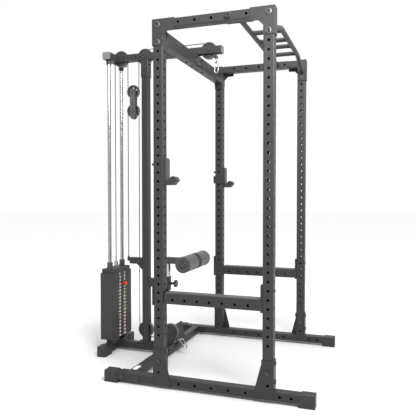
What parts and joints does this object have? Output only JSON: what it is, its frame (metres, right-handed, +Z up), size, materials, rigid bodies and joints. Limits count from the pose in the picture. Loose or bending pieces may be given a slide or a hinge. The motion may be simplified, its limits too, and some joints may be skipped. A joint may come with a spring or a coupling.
{
  "type": "power cage",
  "caption": "Open steel power cage with punched uprights, bar hooks, safety bars and a rear lat and row tower with a selectorised weight stack.",
  "frame": {"origin": "middle of the overall box, on the floor", "axes": "+Z up, +Y from the front uprights towards the weight stack tower, +X to the right when looking along +Y"},
  "size_m": [1.246, 1.574, 2.1745],
  "materials": {
    "charcoal_powder_coat": "satin dark charcoal powder coat with a fine orange-peel texture",
    "grey_end_cap": "grey moulded tube plug",
    "black_boot": "moulded black end boot",
    "black_liner": "black hard plastic liner with fine scuffs",
    "bolt_steel": "dark zinc bolts and nuts",
    "chrome_rod": "bright hard chrome",
    "bright_plated_post": "bright plated steel",
    "pulley_plastic": "dark moulded nylon",
    "black_cable": "black coated steel cable",
    "cable_stop": "black ball stop and steel eye",
    "zinc_hardware": "bright zinc-plated steel",
    "stem_steel": "turned steel",
    "foam": "closed-cell foam",
    "black_knob": "black moulded knob with a steel pin",
    "red_knob": "red moulded knob with a steel pin",
    "black_rubber": "ribbed black rubber",
    "bushing_plastic": "black moulded bushing",
    "weight_plate_paint": "dark semi-matt paint over cast steel"
  },
  "bodies": {
    "frame": {"uprights": "charcoal_powder_coat", "base_rails": "charcoal_powder_coat", "foot_boots": "black_boot", "foot_brackets": "charcoal_powder_coat", "top_side_beams": "charcoal_powder_coat", "top_corner_plates": "charcoal_powder_coat", "rear_top_crossbeam": "charcoal_powder_coat", "rear_base_crossbeam": "charcoal_powder_coat", "multigrip_chinning_bar": "charcoal_powder_coat", "lat_beam": "charcoal_powder_coat", "tower_post": "charcoal_powder_coat", "tower_base": "charcoal_powder_coat", "stack_crossbar": "charcoal_powder_coat", "tube_plugs": "grey_end_cap", "knee_socket": "charcoal_powder_coat", "cable_anchor": "charcoal_powder_coat", "row_pulley_bracket": "charcoal_powder_coat", "foot_plate": "charcoal_powder_coat", "guide_rods": "chrome_rod", "rod_cushions": "black_rubber", "resting_weight_plates": "weight_plate_paint", "frame_bolts": "bolt_steel", "lat_cable_over_beam": "black_cable", "row_cable_along_base": "black_cable"},
    "stack_cable": {"stack_cable": "black_cable"},
    "lifted_stack": {"stack_head_plate": "weight_plate_paint", "lifted_weight_plates": "weight_plate_paint", "selector_stem": "stem_steel", "guide_bushings": "bushing_plastic", "stack_cable_clevis": "zinc_hardware", "pin_lanyard": "black_cable"},
    "selector_pin": {"selector_pin": "red_knob"},
    "lat_front_pulley": {"lat_front_pulley": "pulley_plastic"},
    "post_top_pulley": {"post_top_pulley": "pulley_plastic"},
    "stack_pulley": {"stack_pulley": "pulley_plastic"},
    "post_base_pulley": {"post_base_pulley": "pulley_plastic"},
    "row_pulley": {"row_pulley": "pulley_plastic"},
    "pulley_block": {"pulley_block": "charcoal_powder_coat", "lat_cable_to_block": "black_cable", "row_cable_to_block": "black_cable"},
    "block_upper_pulley": {"block_upper_pulley": "pulley_plastic"},
    "block_lower_pulley": {"block_lower_pulley": "pulley_plastic"},
    "lat_cable_end": {"lat_cable_end": "cable_stop"},
    "lat_carabiner": {"lat_carabiner": "zinc_hardware"},
    "lat_carabiner_gate": {"lat_carabiner_gate": "zinc_hardware"},
    "row_cable_end": {"row_cable_end": "cable_stop"},
    "row_carabiner": {"row_carabiner": "zinc_hardware"},
    "row_carabiner_gate": {"row_carabiner_gate": "zinc_hardware"},
    "knee_frame": {"knee_frame": "bright_plated_post"},
    "left_foam_roller": {"left_foam_roller": "foam"},
    "right_foam_roller": {"right_foam_roller": "foam"},
    "socket_knob": {"socket_knob": "black_knob"},
    "left_bar_hook": {"left_bar_hook": "charcoal_powder_coat", "left_bar_hook_liner": "black_liner"},
    "right_bar_hook": {"right_bar_hook": "charcoal_powder_coat", "right_bar_hook_liner": "black_liner"},
    "left_safety_bar": {"left_safety_bar": "charcoal_powder_coat", "left_safety_bar_liner": "black_liner"},
    "right_safety_bar": {"right_safety_bar": "charcoal_powder_coat", "right_safety_bar_liner": "black_liner"}
  },
  "joints": [
    {"name": "row_lift", "type": "slide", "parent": "frame", "child": "stack_cable", "axis": [0, 0, 1], "range_m": [0, 0.55], "deforming": ["stack_cable"]},
    {"name": "lat_lift", "type": "slide", "parent": "stack_cable", "child": "lifted_stack", "axis": [0, 0, 1], "range_m": [0, 0.8]},
    {"name": "selector_pin_pull", "type": "slide", "parent": "lifted_stack", "child": "selector_pin", "axis": [0, -1, 0], "range_m": [0, 0.065]},
    {"name": "lat_pull", "type": "slide", "parent": "frame", "child": "lat_cable_end", "axis": [0, 0, -1], "range_m": [0, 0.8]},
    {"name": "row_pull", "type": "slide", "parent": "frame", "child": "row_cable_end", "axis": [0, -1, 0], "range_m": [0, 0.55]},
    {"name": "block_travel", "type": "slide", "parent": "frame", "child": "pulley_block", "axis": [0, 0, -1], "range_m": [0, 0.275], "deforming": ["lat_cable_to_block", "row_cable_to_block"]},
    {"name": "lat_front_pulley_spin", "type": "hinge", "parent": "frame", "child": "lat_front_pulley", "pos_m": [0, 0.013, 2.117], "axis": [1, 0, 0], "continuous": true},
    {"name": "post_top_pulley_spin", "type": "hinge", "parent": "frame", "child": "post_top_pulley", "pos_m": [0, 0.493, 2.117], "axis": [1, 0, 0], "continuous": true},
    {"name": "stack_pulley_spin", "type": "hinge", "parent": "frame", "child": "stack_pulley", "pos_m": [0, 0.685, 2.117], "axis": [1, 0, 0], "continuous": true},
    {"name": "block_upper_pulley_spin", "type": "hinge", "parent": "pulley_block", "child": "block_upper_pulley", "pos_m": [0, 0.589, 1.876], "axis": [1, 0, 0], "continuous": true},
    {"name": "block_lower_pulley_spin", "type": "hinge", "parent": "pulley_block", "child": "block_lower_pulley", "pos_m": [0, 0.589, 1.74], "axis": [1, 0, 0], "continuous": true},
    {"name": "post_base_pulley_spin", "type": "hinge", "parent": "frame", "child": "post_base_pulley", "pos_m": [0, 0.493, 0.163], "axis": [1, 0, 0], "continuous": true},
    {"name": "row_pulley_spin", "type": "hinge", "parent": "frame", "child": "row_pulley", "pos_m": [0, 0.301, 0.163], "axis": [1, 0, 0], "continuous": true},
    {"name": "lat_carabiner_swing", "type": "hinge", "parent": "lat_cable_end", "child": "lat_carabiner", "pos_m": [0, -0.039, 2.03016], "axis": [1, 0, 0], "range_deg": [-60, 60]},
    {"name": "lat_gate_open", "type": "hinge", "parent": "lat_carabiner", "child": "lat_carabiner_gate", "pos_m": [0, -0.052, 1.98696], "axis": [-1, 0, 0], "range_deg": [0, 20], "stiffness_Nm_per_rad": 0.1},
    {"name": "row_carabiner_swing", "type": "hinge", "parent": "row_cable_end", "child": "row_carabiner", "pos_m": [0, 0.22041, 0.111], "axis": [-1, 0, 0], "range_deg": [-35, 50]},
    {"name": "row_gate_open", "type": "hinge", "parent": "row_carabiner", "child": "row_carabiner_gate", "pos_m": [0, 0.18498, 0.08307], "axis": [-1, 0, 0], "range_deg": [0, 20], "stiffness_Nm_per_rad": 0.1},
    {"name": "knee_height", "type": "slide", "parent": "frame", "child": "knee_frame", "axis": [0, 0, 1], "range_m": [-0.08, 0.06]},
    {"name": "left_roller_spin", "type": "hinge", "parent": "knee_frame", "child": "left_foam_roller", "pos_m": [0, 0.128, 0.672], "axis": [1, 0, 0], "continuous": true},
    {"name": "right_roller_spin", "type": "hinge", "parent": "knee_frame", "child": "right_foam_roller", "pos_m": [0, 0.128, 0.672], "axis": [1, 0, 0], "continuous": true},
    {"name": "socket_knob_pull", "type": "slide", "parent": "frame", "child": "socket_knob", "axis": [0, -1, 0], "range_m": [0, 0.012], "stiffness_N_per_m": 800},
    {"name": "left_bar_hook_tilt", "type": "hinge", "parent": "frame", "child": "left_bar_hook", "pos_m": [-0.575, 0.119, 1.315], "axis": [0, -1, 0], "range_deg": [0, 90]},
    {"name": "right_bar_hook_tilt", "type": "hinge", "parent": "frame", "child": "right_bar_hook", "pos_m": [0.575, 0.119, 1.315], "axis": [0, 1, 0], "range_deg": [0, 90]},
    {"name": "left_safety_bar_tilt", "type": "hinge", "parent": "frame", "child": "left_safety_bar", "pos_m": [-0.575, 0, 0.615], "axis": [0, -1, 0], "range_deg": [0, 90]},
    {"name": "right_safety_bar_tilt", "type": "hinge", "parent": "frame", "child": "right_safety_bar", "pos_m": [0.575, 0, 0.615], "axis": [0, 1, 0], "range_deg": [0, 90]}
  ],
  "couplings": [
    {"joint": "lat_pull", "follows": "lat_lift", "ratio": 1},
    {"joint": "row_pull", "follows": "row_lift", "ratio": 1},
    {"joint": "block_travel", "follows": "row_lift", "ratio": 0.5},
    {"joint": "lat_front_pulley_spin", "follows": "lat_lift", "rad_per_m": 19.231},
    {"joint": "post_top_pulley_spin", "follows": "lat_lift", "rad_per_m": 19.231},
    {"joint": "stack_pulley_spin", "follows": "lat_lift", "rad_per_m": 19.231},
    {"joint": "block_upper_pulley_spin", "follows": "lat_lift", "rad_per_m": -22.727},
    {"joint": "post_base_pulley_spin", "follows": "row_lift", "rad_per_m": -19.231},
    {"joint": "row_pulley_spin", "follows": "row_lift", "rad_per_m": -19.231},
    {"joint": "block_lower_pulley_spin", "follows": "row_lift", "rad_per_m": 11.364}
  ]
}
